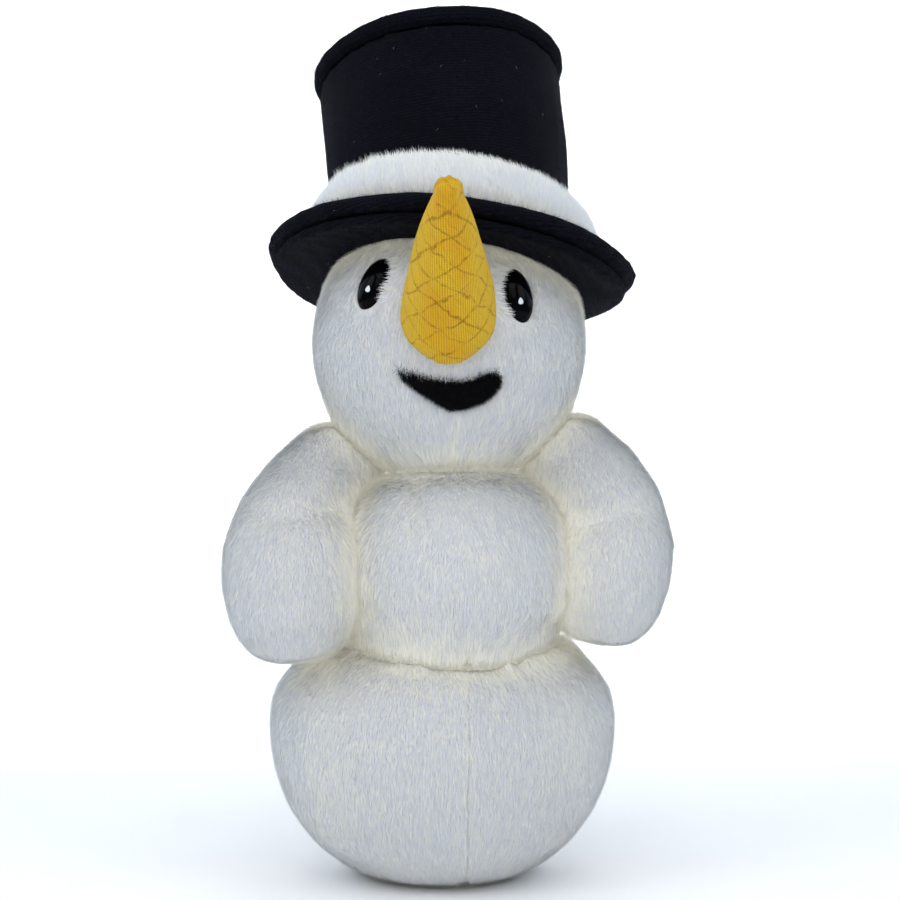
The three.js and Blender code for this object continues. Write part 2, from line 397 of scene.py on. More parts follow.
def bead_material(name, turn, centre, drop):
    """Polished black plastic with a printed white drop, at drop = (across, up) on its face."""
    across, up = drop

    def mark(nodes, place):
        own = nodes.add("ShaderNodeMapping", {}, {
            "Vector": nodes.vector("SUBTRACT", place, tuple(centre)), "Rotation": turn})
        x = nodes.add("ShaderNodeSeparateXYZ", {}, {"Vector": own}, "X")
        y, z = x.out("Y"), x.out("Z") - up
        width = nodes.clamp(1.0 - z / (2.6 * MM), 0.35, 1.4)
        gap = nodes.maths("SQRT", ((x - across) / width) ** 2 + (z * 0.72) ** 2)
        front = nodes.maths("LESS_THAN", y, 0.0)
        return nodes.step(gap, 0.72 * MM, 0.9 * MM, 1.0, 0.0) * front

    def base(nodes, place):
        return nodes.mix(mark(nodes, place), (0.0016, 0.0016, 0.0022), (0.80, 0.84, 0.90))

    def roughness(nodes, place):
        return nodes.noise(place, 400.0, 3.0) * 0.06 + 0.05

    return material(name, base, roughness, Specular_IOR_Level=0.05)


# ------------------------------------------------------------------ meshes

def new_piece(name, mesh):
    """A new object in the scene, for a mesh, a lamp or a camera."""
    piece = bpy.data.objects.new(name, mesh)
    bpy.context.scene.collection.objects.link(piece)
    return piece


def corners(mesh):
    """The mesh's points, one to a row."""
    found = np.empty(len(mesh.vertices) * 3, np.float32)
    mesh.vertices.foreach_get("co", found)
    return found.reshape(-1, 3).astype(float)


def outward(mesh):
    """The way out of the mesh at each of its points."""
    found = np.empty(len(mesh.vertices) * 3, np.float32)
    mesh.vertex_normals.foreach_get("vector", found)
    return found.reshape(-1, 3).astype(float)


def place_corners(mesh, points):
    mesh.vertices.foreach_set("co", points.astype(np.float32).ravel())
    mesh.update()


def write_values(mesh, name, values):
    """Stores a number or a vector for each of the mesh's points."""
    kind = "FLOAT" if values.ndim == 1 else "FLOAT_VECTOR"
    attribute = mesh.attributes.new(name, kind, "POINT")
    attribute.data.foreach_set("value" if kind == "FLOAT" else "vector",
                               values.astype(np.float32).ravel())


def settle(piece):
    """Puts a piece's evaluated shape into its mesh and takes its modifiers away."""
    depsgraph = bpy.context.evaluated_depsgraph_get()
    mesh = bpy.data.meshes.new_from_object(piece.evaluated_get(depsgraph), depsgraph=depsgraph)
    mesh.name = piece.name
    old = piece.data
    piece.modifiers.clear()
    piece.data = mesh
    bpy.data.meshes.remove(old)
    return piece


def add_modifier(piece, kind, **settings):
    modifier = piece.modifiers.new(kind.title(), kind)
    for name, value in settings.items():
        setattr(modifier, name, value)
    return modifier


def even_copy(node, name, voxel, smoothing=7):
    """A CAD node's solid as a piece of its own, evenly meshed and without facets."""
    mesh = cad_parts[node].data.copy()
    mesh.materials.clear()
    work = bmesh.new()
    work.from_mesh(mesh)
    bmesh.ops.remove_doubles(work, verts=work.verts, dist=1e-6)
    work.to_mesh(mesh)
    work.free()
    piece = new_piece(name, mesh)
    add_modifier(piece, "REMESH", mode="VOXEL", voxel_size=voxel, use_smooth_shade=True)
    add_modifier(piece, "SMOOTH", factor=0.5, iterations=smoothing)
    return settle(piece)


def draw_in(piece, depth, under=(), over=()):
    """Moves a skin inwards by depth. It keeps its place where it rests on the nodes under it, and
    it goes in further where nodes lie over it."""
    mesh = piece.data
    points = corners(mesh)
    move = np.full(len(points), depth)
    if under or over:
        move *= smooth(gaps(points, *under, *over), 0.0, 3 * depth)
    if over:
        move = np.maximum(move, 0.7 * MM * (1 - smooth(gaps(points, *over), 0.0, 4 * MM)))
    place_corners(mesh, points - outward(mesh) * move[:, None])
    return piece


def refine(piece, levels):
    """Subdivides a piece smoothly."""
    add_modifier(piece, "SUBSURF", levels=levels, render_levels=levels)
    return settle(piece)


def tree_of(*nodes):
    """A search tree of the CAD solids of these nodes."""
    points, faces = [], []
    for node in nodes:
        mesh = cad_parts[node].data
        first = len(points)
        points += [vertex.co for vertex in mesh.vertices]
        faces += [[first + i for i in polygon.vertices] for polygon in mesh.polygons]
    return BVHTree.FromPolygons(points, faces)


def nearest(points, *nodes):
    """(way, distance) from each point to the nearest of these nodes' solids."""
    tree = tree_of(*nodes)
    found = [tree.find_nearest(Vector(point)) for point in points]
    return np.array([hit[0] for hit in found]) - points, np.array([hit[3] for hit in found])


def gaps(points, *nodes):
    """Each point's distance to the nearest of these nodes' solids."""
    return nearest(points, *nodes)[1]


def smooth(values, low, high):
    """Goes smoothly from 0 to 1 as values go from low to high."""
    share = np.clip((values - low) / (high - low), 0, 1)
    return share * share * (3 - 2 * share)


def own_axes(node):
    """(centre, rotation) of a node: the rotation's columns run from its longest way to its shortest."""
    points = np.array([vertex.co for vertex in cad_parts[node].data.vertices])
    points = np.unique(points.round(6), axis=0)
    centre = (points.min(0) + points.max(0)) / 2
    spread = points - points.mean(0)
    _, _, ways = np.linalg.svd(spread, full_matrices=False)
    return centre, ways.T


def stuff(pieces, sewn):
    """Fills closed pieces: a short cloth simulation under pressure, held where they are sewn."""
    size = sizes()
    starts = {}
    for piece in pieces:
        points = corners(piece.data)
        starts[piece.name] = points
        held = piece.vertex_groups.new(name="sewn")
        near = gaps(points, *sewn[piece.name]) < 2 * MM
        held.add([int(i) for i in np.flatnonzero(near)], 1.0, "REPLACE")
        cloth = piece.modifiers.new("Stuffing", "CLOTH")
        cloth.settings.quality = 5
        cloth.settings.mass = 0.15
        cloth.settings.tension_stiffness = 25
        cloth.settings.compression_stiffness = 25
        cloth.settings.bending_stiffness = 0.6
        cloth.settings.use_pressure = True
        cloth.settings.uniform_pressure_force = size.stuffing
        cloth.settings.vertex_group_mass = "sewn"
        cloth.settings.effector_weights.gravity = 0
        cloth.collision_settings.use_collision = False
        cloth.collision_settings.use_self_collision = False
    scene = bpy.context.scene
    for number in range(1, CLOTH_FRAMES + 1):
        scene.frame_set(number)
    for piece in pieces:
        settle(piece)
        piece.vertex_groups.clear()
        moved = corners(piece.data) - starts[piece.name]
        length = np.linalg.norm(moved, axis=1)
        kept = np.minimum(1, size.swell / np.maximum(length, 1e-9))
        place_corners(piece.data, starts[piece.name] + moved * kept[:, None])
    scene.frame_set(1)


def press(piece, line, depth, width, lip):
    """A fold in the front of a piece. line holds its points (x, z) in millimetres, and lip is the
    share of its depth that rises beside it. Gives how near to the fold each point is."""
    mesh = piece.data
    points, normals = corners(mesh), outward(mesh)
    flat = points[:, [0, 2]]
    depth, width = depth * MM, width * MM
    gap = np.full(len(points), np.inf)
    ends = [np.array(end) * MM for end in line]
    for start, end in zip(ends, ends[1:]):
        way = end - start
        share = np.clip(((flat - start) @ way) / (way @ way), 0, 1)
        gap = np.minimum(gap, np.linalg.norm(flat - start - share[:, None] * way, axis=1))
    facing = smooth(-normals[:, 1], 0.0, 0.35)
    dent = np.exp(-(gap / width) ** 2) - lip * np.exp(-((gap - 2 * width) / width) ** 2)
    place_corners(mesh, points - normals * (depth * dent * facing)[:, None])
    return np.exp(-(gap / (1.6 * width)) ** 2) * facing


def seam(piece, x, depth, width, low=-999, high=999, notches=()):
    """A line of sewing down the front and back of a piece, in the plane at x, in millimetres.
    notches are heights where it pulls in deeper. Gives how near to the line each point is."""
    mesh = piece.data
    points, normals = corners(mesh), outward(mesh)
    line = np.exp(-((points[:, 0] - x * MM) / (width * MM)) ** 2)
    height = points[:, 2] / MM
    within = smooth(height, low, low + 4) * (1 - smooth(height, high - 4, high))
    pull = depth * within
    for level, extra, reach in notches:
        pull = pull + extra * np.exp(-((height - level) / reach) ** 2) * (points[:, 1] < 0)
    place_corners(mesh, points - normals * (MM * pull * line)[:, None])
    return line * within


# ------------------------------------------------------------------ pile

def make_pile_tree():
    """Geometry nodes that grow a fibre at scattered points of a surface. The surface carries the
    values outward, comb, cover, reach, warm and dull at its points."""
    tree = bpy.data.node_groups.new("Pile", "GeometryNodeTree")
    nodes = Nodes(tree)
    scaled = nodes.scaled
    for name, kind in (
        ("Surface", "NodeSocketGeometry"), ("Density", "NodeSocketFloat"),
        ("Length", "NodeSocketFloat"), ("Width", "NodeSocketFloat"), ("Lean", "NodeSocketFloat"),
        ("Stray", "NodeSocketFloat"), ("Wander", "NodeSocketFloat"), ("Seed", "NodeSocketInt"),
        ("Tips", "NodeSocketMaterial"), ("Ivory", "NodeSocketMaterial"),
        ("Shade", "NodeSocketMaterial"),
    ):
        tree.interface.new_socket(name, in_out="INPUT", socket_type=kind)
    tree.interface.new_socket("Pile", in_out="OUTPUT", socket_type="NodeSocketGeometry")
    given = nodes.add("NodeGroupInput", {}, {}, "Surface")
    seed = given.out("Seed")

    def value(name, kind="FLOAT"):
        return nodes.add("GeometryNodeInputNamedAttribute", {"data_type": kind}, {"Name": name})

    def chance(low, high, shift, kind="FLOAT"):
        ends = {"Min": low, "Max": high, "Seed": seed + shift}
        return nodes.add("FunctionNodeRandomValue", {"data_type": kind}, ends)

    scattered = nodes.add("GeometryNodeDistributePointsOnFaces", {}, {
        "Mesh": given, "Density": given.out("Density") * value("cover"), "Seed": seed})
    place = nodes.add("GeometryNodeInputPosition")
    up = value("outward", "FLOAT_VECTOR")
    swirl = nodes.vector("SUBTRACT", nodes.noise(place, 55.0, 2.0).out("Color"), (0.5, 0.5, 0.5))
    flow = nodes.vector("ADD", value("comb", "FLOAT_VECTOR"), scaled(swirl, given.out("Wander")))
    rise = nodes.add("ShaderNodeVectorMath", {"operation": "DOT_PRODUCT"}, {0: flow, 1: up}, "Value")
    lying = nodes.vector("NORMALIZE", nodes.vector("SUBTRACT", flow, scaled(up, rise)))
    lean = given.out("Lean")
    stray = scaled(chance((-1, -1, -1), (1, 1, 1), 1, "FLOAT_VECTOR"), given.out("Stray"))
    along = nodes.vector("ADD", nodes.vector("ADD", scaled(up, nodes.maths("COSINE", lean)),
                                             scaled(lying, nodes.maths("SINE", lean))), stray)
    wide = nodes.vector("ADD", up, scaled(chance((-1, -1, -1), (1, 1, 1), 2, "FLOAT_VECTOR"), 0.22))
    turned = nodes.add("FunctionNodeAxesToRotation",
                       {"primary_axis": "X", "secondary_axis": "Z"},
                       {"Primary Axis": along, "Secondary Axis": wide})
    pick = chance(0.0, 1.0, 3)
    ivory = nodes.maths("LESS_THAN", pick, value("warm"))
    dull = nodes.maths("GREATER_THAN", pick, 1.0 - value("dull")) * 2.0
    marked = nodes.add("GeometryNodeStoreNamedAttribute", {"data_type": "FLOAT", "domain": "POINT"}, {
        "Geometry": scattered, "Name": "tone", "Value": nodes.maths("MAXIMUM", ivory, dull)})
    circle = nodes.add("GeometryNodeMeshCircle", {"fill_type": "NGON"}, {"Vertices": 3, "Radius": 1.0})
    blade = nodes.add("GeometryNodeTransform", {}, {
        "Geometry": circle, "Translation": (1 / 3, 0, 0), "Scale": (1 / 1.5, 1 / math.sqrt(3), 1)})
    long = given.out("Length") * value("reach") * chance(0.75, 1.12, 4)
    broad = given.out("Width") * chance(0.7, 1.3, 5)
    size = nodes.add("ShaderNodeCombineXYZ", {}, {"X": long, "Y": broad, "Z": 1.0})
    grown = nodes.add("GeometryNodeInstanceOnPoints", {}, {
        "Points": marked, "Instance": blade, "Rotation": turned, "Scale": size})
    real = nodes.add("GeometryNodeRealizeInstances", {}, {"Geometry": grown})
    tone = value("tone")
    coloured = nodes.add("GeometryNodeSetMaterial", {}, {
        "Geometry": real, "Material": given.out("Tips")})
    for name, level in (("Ivory", 0.5), ("Shade", 1.5)):
        coloured = nodes.add("GeometryNodeSetMaterial", {}, {
            "Geometry": coloured, "Selection": nodes.maths("GREATER_THAN", tone, level),
            "Material": given.out(name)})
    end = tree.nodes.new("NodeGroupOutput")
    tree.links.new(coloured.socket, end.inputs[0])


def run_tree(tree, mesh, name, values):
    """The plain mesh that a tree makes of a mesh, as a new piece."""
    piece = new_piece(name, mesh.copy())
    modifier = piece.modifiers.new("Nodes", "NODES")
    modifier.node_group = tree
    for item in tree.interface.items_tree:
        if item.in_out == "INPUT" and item.name in values:
            modifier[item.identifier] = values[item.name]
    settle(piece)
    for leftover in ("tone", "outward", "comb", "cover", "reach", "warm", "dull"):
        if leftover in piece.data.attributes:
            piece.data.attributes.remove(piece.data.attributes[leftover])
    return piece


def covered_area(mesh, cover):
    """The area that the pile covers, with cover the share of each point."""
    areas = np.empty(len(mesh.polygons))
    mesh.polygons.foreach_get("area", areas)
    points = np.empty(len(mesh.loops), int)
    mesh.loops.foreach_get("vertex_index", points)
    firsts = np.empty(len(mesh.polygons), int)
    mesh.polygons.foreach_get("loop_start", firsts)
    return (areas * cover[points[firsts]]).sum()


def grow_pile(skin, name, count, near=(), hard=(), comb=DOWN, warm=0.0,
              extra=0.0, keep=1.0, shades=None, length=None, width=None, lean=None,
              stray=0.10, wander=0.45):
    """Grows about count fibres on a skin. Where it touches near nodes it is bare, and beside hard
    nodes its fibres are cut short. warm adds ivory fibres, whose glow is painted light, extra
    lengthens the pile, and keep thins it out: each is one value, or one for each of the skin's
    points."""
    size = sizes()
    mesh = skin.data.copy()
    points, normals = corners(mesh), outward(mesh)
    length = length or size.pile_length
    cover = np.ones(len(points)) * keep
    crease = np.zeros(len(points))
    if near:
        gap = gaps(points, *near)
        cover *= smooth(gap, 0.0, 0.3 * MM)
        crease = np.exp(-(gap / (9 * MM)) ** 2)
    reach = 1 + 0.65 * crease
    if hard:
        gap = gaps(points, *hard)
        reach = reach * np.clip(gap / (0.8 * length), 0.3, 1)
    reach = np.maximum(reach, 2 * extra)
    write_values(mesh, "outward", normals)
    write_values(mesh, "comb", np.broadcast_to(comb, points.shape) if np.ndim(comb) == 1 else comb)
    write_values(mesh, "cover", cover)
    write_values(mesh, "reach", reach)
    # Painted light: in the creases more fibres are ivory, which glow, and fewer are dull, so the creases
    # come out lighter.
    write_values(mesh, "warm", np.clip(0.16 + 0.62 * crease + warm, 0, 0.95))
    write_values(mesh, "dull", 0.25 * (1 - 0.7 * crease))
    tips, ivory, shade = shades or pile_library()
    piece = run_tree(bpy.data.node_groups["Pile"], mesh, name, {
        "Density": count / covered_area(mesh, cover), "Length": length, "Width": width or size.pile_width,
        "Lean": size.pile_lean if lean is None else lean, "Stray": stray, "Wander": wander,
        "Seed": size.seed, "Tips": tips, "Ivory": ivory, "Shade": shade})
    points = corners(piece.data)
    points[:, 2] = np.maximum(points[:, 2], FLOOR_GAP)
    place_corners(piece.data, points)
    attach(piece, "root")
    return piece


def pile_library():
    """The white fibres' three materials. The first call makes them, the backing and the tree."""
    names = [f"white_fibre_{name}" for name in ("tips", "ivory", "shade")]
    if names[0] not in bpy.data.materials:
        make_pile_shades()
        make_backing()
        make_pile_tree()
    return [bpy.data.materials[name] for name in names]


def dress(piece, made, slot, *nodes):
    """Gives a finished piece its material and its body, and hides the nodes that it stands for. Its slot
    is not used.
    """
    piece.data.materials.clear()
    piece.data.materials.append(made)
    for polygon in piece.data.polygons:
        polygon.use_smooth = True
    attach(piece, "root")
    if nodes:
        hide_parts(*nodes)
    return piece


# ------------------------------------------------------------------ stuffed pieces

# The pieces that rest against each skin: those it lies on, and those that lie on it.
UNDER = {
    "bottom_ball": (),
    "chest_ball": ("bottom_ball",),
    "arm_left": ("chest_ball", "bottom_ball"),
    "arm_right": ("chest_ball", "bottom_ball"),
    "head": ("chest_ball", "arm_left", "arm_right"),
}
OVER = {
    "bottom_ball": ("chest_ball", "arm_left", "arm_right"),
    "chest_ball": ("head", "arm_left", "arm_right"),
    "arm_left": ("head",),
    "arm_right": ("head",),
    "head": ("hat_brim_lower", "hat_brim_upper", "hat_crown"),
}
NEIGHBOURS = {node: UNDER[node] + OVER[node] for node in UNDER}
# How many fibres grow on the body and the arms.
FIBRES = {"bottom_ball": 296000, "chest_ball": 120000, "arm_left": 95000, "arm_right": 95000}
# The rest is in millimetres: where the front seam runs, and each fold's points (x, z), its depth,
# its width and the share of it that rises beside it.
SEAM_X = 8.8
FOLDS = {
    "arm_left": [([(-58, 130), (-48, 131), (-36, 133)], 1.2, 4.5, 0.15)],
    "arm_right": [([(44, 128), (54, 129), (66, 132)], 1.2, 4.5, 0.1)],
    "chest_ball": [([(-9, 138), (-11, 124)], 0.9, 3.2, 0.0), ([(-26, 96), (-6, 90)], 0.8, 6, 0.0)],
    "bottom_ball": [([(-35, 70), (-39, 48), (-37, 30)], 1.3, 6.0, 0.1),
                    ([(40, 66), (44, 46)], 0.9, 6.0, 0.0)],
    "head": [],
}


def shape_by_hand(node, skin):
    """Brings the hands in against the chest, and lets the bottom ball's right shoulder show."""
    points = corners(skin.data)
    x, y, z = points.T / MM
    low_down = 1 - smooth(z, 116, 134)
    if node == "arm_left":
        x = x + 3.5 * smooth(x, -54, -36) * low_down
    if node == "arm_right":
        x = x - 3.0 * smooth(-x, -60, -42) * low_down
    if node in ("bottom_ball", "chest_ball"):
        rise = np.exp(-((x - 40) / 15) ** 2 - ((z - 86) / 9) ** 2)
        z = z + 5 * rise * (1 - smooth(y, 0, 20))
    place_corners(skin.data, np.column_stack((x, y, z)) * MM)


def stuffed_skins(names, depth):
    """The stuffed skins of some nodes, depth inside their solids, with their folds pressed in. Gives
    the skins, and how near to a fold each of their points is."""
    skins = {}
    for node in names:
        skin = even_copy(node, f"{node}_skin", SKIN_VOXEL)
        skins[node] = draw_in(skin, depth, UNDER[node], OVER[node])
    stuff(list(skins.values()), {f"{node}_skin": NEIGHBOURS[node] for node in names})
    creases = {}
    for node, skin in skins.items():
        refine(skin, 2)
        shape_by_hand(node, skin)
        marks = np.zeros(len(skin.data.vertices))
        for line, depth, width, lip in FOLDS[node]:
            marks = np.maximum(marks, press(skin, line, depth, width, lip))
        creases[node] = marks
    return skins, creases


def finish_skin(skin, node):
    """Gives a skin that carries white pile the backing's material and its body, and hides its node."""
    dress(skin, bpy.data.materials["white_backing"], "white_pile", node)


# ------------------------------------------------------------------ operators

class PLUSH_OT_stage(bpy.types.Operator):
    """Sets the floor, the lights and the camera"""

    bl_idname = "plush.stage"
    bl_label = "Stage"

    def execute(self, context):
        context.scene.view_settings.view_transform = "Standard"
        self.make_backdrop()
        self.light_room(context.scene)
        lens = bpy.data.cameras.new("camera")
        lens.sensor_width = 36
        lens.lens = 70
        camera = new_piece("camera", lens)
        camera.location = (2.8 * MM, -630 * MM, 151.4 * MM)
        camera.rotation_euler = (math.pi / 2, 0, 0)
        context.scene.camera = camera
        return {"FINISHED"}

    @staticmethod
    def make_backdrop():
        """The floor and the wall behind it, as one sheet with a rounded bend."""
        front, back, top, half_width = -1.4, 1.0, 2.6, 2.6
        bend, bend_steps = 0.5, 12
        profile = [(front, 0.0), (back, 0.0)]
        for step in range(1, bend_steps + 1):
            turn = math.radians(90 * step / bend_steps)
            profile.append((back + bend * math.sin(turn), bend - bend * math.cos(turn)))
        profile.append((back + bend, top))
        points = [(x, y, z) for y, z in profile for x in (-half_width, half_width)]
        faces = [(i, i + 1, i + 3, i + 2) for i in range(0, len(points) - 2, 2)]
        mesh = bpy.data.meshes.new("backdrop")
        mesh.from_pydata(points, [], faces)
        backdrop = new_piece("backdrop", mesh)
        mesh.materials.append(material("backdrop", tuple(colours().floor), 0.9))
        for polygon in mesh.polygons:
            polygon.use_smooth = True
        backdrop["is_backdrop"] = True

    @staticmethod
    def add_lamp(name, place, width, power, colour=(1, 1, 1)):
        lamp = bpy.data.lights.new(name, "AREA")
        lamp.shape = "DISK"
        lamp.size = width
        lamp.energy = power
        lamp.color = colour
        light = new_piece(name, lamp)
        light.location = place
        return light

    def light_room(self, scene):
        """A soft room, lamps round the toy that point at its middle, and two for the backdrop."""
        world = bpy.data.worlds.new("soft_room")
        world.use_nodes = True
        background = world.node_tree.nodes["Background"]
        background.inputs["Color"].default_value = (0.72, 0.85, 1.0, 1)
        background.inputs["Strength"].default_value = 0.23
        scene.world = world
        middle = Vector((0, 0, 150 * MM))
        warm, cool, blue = (1.0, 0.985, 0.96), (0.97, 0.98, 1.0), (0.62, 0.80, 1.0)
        for name, place, width, power, colour in (
            ("key", (0.0, -1.2, 1.15), 1.0, 4.0, warm),
            ("front", (0.1, -1.9, 0.35), 1.8, 0.7, (1.0, 0.99, 0.98)),
            ("high_left", (-1.2, -0.75, 1.1), 1.0, 7.8, cool),
            ("high_right", (1.2, -0.75, 1.1), 1.0, 6.3, cool),
            ("top", (0.0, -0.45, 1.3), 1.2, 5.0, (0.96, 0.98, 1.0)),
            ("left", (-1.3, 0.35, 0.85), 1.2, 5.5, blue),
            ("right", (1.3, 0.35, 0.85), 1.2, 5.0, blue),
        ):
            light = self.add_lamp(name, place, width, power, colour)
            light.rotation_euler = (middle - Vector(place)).to_track_quat("-Z", "Y").to_euler()
        for side in (-1, 1):
            light = self.add_lamp("backdrop_lamp", (0.75 * side, 0.45, 0.9), 1.0, 16.0)
            light.rotation_euler = (math.radians(80), 0, math.radians(8 * side))


class PLUSH_OT_body(bpy.types.Operator):
    """Stuffs and furs the bottom ball, the chest ball and the arms"""

    bl_idname = "plush.body"
    bl_label = "Body and arms"

    def execute(self, context):
        pile_library()
        names = ("bottom_ball", "chest_ball", "arm_left", "arm_right")
        skins, creases = stuffed_skins(names, sizes().pile_depth)
        bottom = skins["bottom_ball"]
        line = seam(bottom, SEAM_X, 0.12, 1.6, notches=((83, 0.8, 4), (3, 0.25, 4)))
        creases["bottom_ball"] = np.maximum(creases["bottom_ball"], 0.4 * line)
        line = seam(skins["chest_ball"], SEAM_X, 0.25, 1.5, high=100, notches=((76, 2.2, 5),))
        creases["chest_ball"] = np.maximum(creases["chest_ball"], 0.6 * line)
        for node, skin in skins.items():
            near = NEIGHBOURS[node]
            # Folds and seams get more ivory fibres, whose glow is painted light along them.
            warm = 0.15 * creases[node]
            extra = 0.0
            if UNDER[node]:
                extra = 0.65 * (1 - smooth(gaps(corners(skin.data), *UNDER[node]), 1 * MM, 5 * MM))
            if node == "bottom_ball":
                across = corners(skin.data)[:, 0] - SEAM_X * MM
                for side, sign in (("left", -1), ("right", 1)):
                    grow_pile(skin, f"{node}_pile_{side}", FIBRES[node] / 2, near, warm=warm,
                              keep=(sign * across > 0) * 1.0)
            else:
                grow_pile(skin, f"{node}_pile", FIBRES[node], near, warm=warm, extra=extra)
            finish_skin(skin, node)
        return {"FINISHED"}


class PLUSH_OT_head(bpy.types.Operator):
    """Stuffs and furs the head"""

    bl_idname = "plush.head"
    bl_label = "Head"

    def execute(self, context):
        pile_library()
        skin = stuffed_skins(("head",), 0.4 * sizes().pile_depth)[0]["head"]
        line = seam(skin, 4.5, 0.5, 1.2, low=139, high=165)
        points = corners(skin.data)
        comb, over_eyes = self.comb_round_eyes(points)
        # The seam gets more ivory fibres, whose glow is painted light along it.
        grow_pile(skin, "head_pile", 165000, NEIGHBOURS["head"],
                  hard=("nose", "eye_left", "eye_right"), warm=0.3 * line, comb=comb,
                  extra=np.maximum(over_eyes, self.tufts_over_mouth(points)))
        finish_skin(skin, "head")
        return {"FINISHED"}

    @staticmethod
    def comb_round_eyes(points):
        """The pile beside the nose lies over the inner edge of each eye: its comb and its length."""
        comb = np.tile(DOWN, (len(points), 1))
        extra = np.zeros(len(points))
        for eye, side in (("eye_left", 1), ("eye_right", -1)):
            low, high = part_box(eye)
            way = np.array((low + high) / 2) - points
            inner = smooth(-side * way[:, 0], 1.0 * MM, 4.0 * MM)
            inner *= 1 - smooth(gaps(points, eye), 2.5 * MM, 6 * MM)
            way[:, 2] = -2 * MM
            way /= np.linalg.norm(way, axis=1)[:, None]
            comb += (way - comb) * inner[:, None]
            extra = np.maximum(extra, 0.75 * inner)
        return comb, extra

    @staticmethod
    def tufts_over_mouth(points):
        """Above the mouth the pile hangs over it in uneven tufts."""
        x, y, _ = points.T
        way, gap = nearest(points, "mouth")
        above = smooth(-way[:, 2], 0.0, 1.5 * MM) * (1 - smooth(gap, 2 * MM, 5 * MM))
        above *= (y < 0) * (1 - smooth(np.abs(x - 2 * MM), 9 * MM, 14 * MM))
        return above * (0.62 + 0.26 * np.sin(x / (0.42 * MM)) * np.sin(x / (1.7 * MM) + 1))


class PLUSH_OT_face(bpy.types.Operator):
    """Makes the bead eyes and the mouth of black pile"""

    bl_idname = "plush.face"
    bl_label = "Eyes and mouth"

    def execute(self, context):
        head = np.array(sum(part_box("head"), Vector()) / 2)
        for node, side in (("eye_left", 1), ("eye_right", -1)):
            self.make_eye(node, (side * 1.5 * MM, -3.5 * MM), head)
        self.make_mouth(head)
        return {"FINISHED"}

    @staticmethod
    def make_eye(node, drop, head):
        """An oval bead that faces away from the middle of the head."""
        centre, ways = own_axes(node)
        tall = ways[:, 0] if ways[2, 0] > 0 else -ways[:, 0]
        deep = (head - centre) / np.linalg.norm(head - centre)
        wide = np.cross(deep, tall)
        wide /= np.linalg.norm(wide)
        tall = np.cross(wide, deep)
        points = np.array([vertex.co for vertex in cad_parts[node].data.vertices]) - centre
        halves = [np.abs(points @ way).max() for way in (wide, deep, tall)]
        turn = Matrix(np.column_stack((wide, deep, tall)).tolist()).to_4x4()
        mesh = bpy.data.meshes.new(node)
        work = bmesh.new()
        bmesh.ops.create_uvsphere(work, u_segments=64, v_segments=40, radius=1)
        oval = Matrix.Translation(centre) @ turn @ Matrix.Diagonal((*halves, 1))
        bmesh.ops.transform(work, matrix=oval, verts=work.verts)
        work.to_mesh(mesh)
        work.free()
        bead = new_piece(f"{node}_bead", mesh)
        own = tuple(turn.to_3x3().inverted().to_euler())
        dress(bead, bead_material(f"{node}_plastic", own, centre, drop), "black_plastic", node)

    @staticmethod
    def make_mouth(head):
        """A patch that stands proud of the head, with its left corner a little higher."""
        backing, fibre = black_pile_materials()
        patch = even_copy("mouth", "mouth_patch", 0.8 * MM, 3)
        points = corners(patch.data)
        ways = points - head
        ways /= np.linalg.norm(ways, axis=1)[:, None]
        place_corners(patch.data, points - ways * (1.4 * MM))
        draw_in(patch, 0.15 * MM)
        points = corners(patch.data)
        middle = points[:, 0].mean()
        left = smooth(middle - points[:, 0], 4 * MM, 13 * MM)
        points[:, 0] += 0.06 * (points[:, 0] - middle) - 0.6 * MM * left
        points[:, 2] += 0.8 * MM + 0.8 * MM * left
        place_corners(patch.data, points)
        facing = outward(patch.data) @ np.array([0, -1.0, -0.3])
        grow_pile(patch, "mouth_pile", 14000, shades=(fibre, fibre, fibre),
                  length=3.0 * MM, width=0.28 * MM, lean=math.radians(44), stray=0.55,
                  keep=smooth(facing, 0.3, 0.6))
        dress(patch, backing, "black_pile", "mouth")


class PLUSH_OT_nose(bpy.types.Operator):
    """Makes the carrot nose of ribbed jersey"""

    bl_idname = "plush.nose"
    bl_label = "Nose"

    def execute(self, context):
        nose = even_copy("nose", "nose_jersey", 1.3 * MM, 3)
        _, ways = own_axes("nose")
        way = ways[:, 0] if ways[2, 0] > 0 else -ways[:, 0]
        refine(nose, 1)
        mesh = nose.data
        points, normals = corners(mesh), outward(mesh)
        along = points @ way
        tip, root = along.max(), along.min()
        side = np.array([1.0, 0, 0])
        depth = np.cross(way, side)
        axis = points[along > tip - 8 * MM].mean(0)
        spread = points - axis
        angle = np.arctan2(spread @ side, spread @ depth)
        # The gathers of the tip, and soft lumps of the filling.
        near_tip = smooth(along, tip - 11 * MM, tip - 4 * MM)
        pleats = np.sin(5 * angle + 0.7) * 0.35 * MM * near_tip
        neck = -0.35 * MM * np.exp(-((along - tip + 5.6 * MM) / (1.5 * MM)) ** 2)
        lumps = (np.sin(along / (7.5 * MM)) * np.sin(2 * angle + along / (16 * MM))) * 0.55 * MM
        lumps *= 1 - near_tip
        swollen = 0.9 * MM * np.exp(-((along - root - 7 * MM) / (6 * MM)) ** 2)
        place_corners(mesh, points + normals * (pleats + neck + lumps + swollen)[:, None])
        turn = Matrix((side.tolist(), (-depth).tolist(), way.tolist())).to_euler()
        base = points[along < root + 20 * MM].mean(0)
        dress(nose, jersey_material(tuple(turn), base), "yellow_jersey", "nose")
        return {"FINISHED"}


